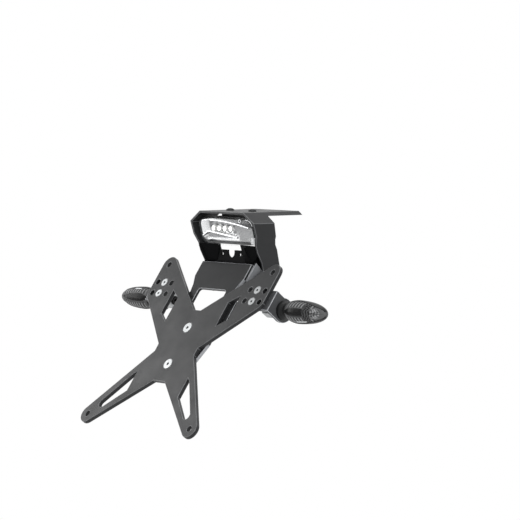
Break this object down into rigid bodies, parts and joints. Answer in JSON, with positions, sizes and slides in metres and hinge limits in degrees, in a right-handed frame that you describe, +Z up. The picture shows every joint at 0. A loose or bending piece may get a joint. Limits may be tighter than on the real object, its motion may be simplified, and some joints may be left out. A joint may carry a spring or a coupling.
{
  "type": "motorcycle tail tidy",
  "caption": "X-shaped number plate carrier on a folded bracket, with a hooded clear tail lamp and smoked indicators on short side tabs.",
  "frame": {"origin": "centre of the four frame bolts, on the top face of the hood", "axes": "+X to the bike's right, +Y to its front, +Z up, out of the hood's top face"},
  "size_m": [0.294, 0.1636, 0.1929],
  "materials": {
    "black_sheet": "satin black powder coat",
    "zinc_steel": "bright zinc",
    "black_plastic": "matte",
    "clear_lens": "clear moulded plastic",
    "smoked_lens": "smoked moulded plastic",
    "bright_plastic": "bright",
    "circuit_board": "satin",
    "led": "gloss",
    "amber_bulb": "clear"
  },
  "bodies": {
    "root": {"number_plate_carrier": "black_sheet", "tongue_bracket": "black_sheet", "lamp_bracket": "black_sheet", "lamp_hood": "black_sheet", "left_indicator_bracket": "black_sheet", "right_indicator_bracket": "black_sheet", "carrier_bolt_upper": "zinc_steel", "carrier_bolt_lower": "zinc_steel", "carrier_nut_upper": "zinc_steel", "carrier_nut_lower": "zinc_steel", "left_arm_bolt_upper": "zinc_steel", "left_arm_bolt_lower": "zinc_steel", "right_arm_bolt_upper": "zinc_steel", "right_arm_bolt_lower": "zinc_steel", "left_arm_nut_upper": "zinc_steel", "left_arm_nut_lower": "zinc_steel", "right_arm_nut_upper": "zinc_steel", "right_arm_nut_lower": "zinc_steel", "left_side_bolt_rear": "zinc_steel", "left_side_bolt_front": "zinc_steel", "right_side_bolt_rear": "zinc_steel", "right_side_bolt_front": "zinc_steel", "left_side_spacer_rear": "zinc_steel", "left_side_spacer_front": "zinc_steel", "right_side_spacer_rear": "zinc_steel", "right_side_spacer_front": "zinc_steel", "left_side_nut_rear": "zinc_steel", "left_side_nut_front": "zinc_steel", "right_side_nut_rear": "zinc_steel", "right_side_nut_front": "zinc_steel", "lamp_housing": "black_plastic", "lamp_lens": "clear_lens", "lamp_reflector": "bright_plastic", "lamp_circuit_board": "circuit_board", "lamp_led_1": "led", "lamp_led_2": "led", "lamp_led_3": "led", "lamp_led_4": "led", "lamp_screw_left": "zinc_steel", "lamp_screw_right": "zinc_steel", "left_indicator_stalk": "black_plastic", "left_indicator_lens": "smoked_lens", "left_indicator_reflector": "bright_plastic", "left_indicator_bulb": "amber_bulb", "left_indicator_washer": "zinc_steel", "left_indicator_nut": "zinc_steel", "right_indicator_stalk": "black_plastic", "right_indicator_lens": "smoked_lens", "right_indicator_reflector": "bright_plastic", "right_indicator_bulb": "amber_bulb", "right_indicator_washer": "zinc_steel", "right_indicator_nut": "zinc_steel"}
  },
  "joints": []
}
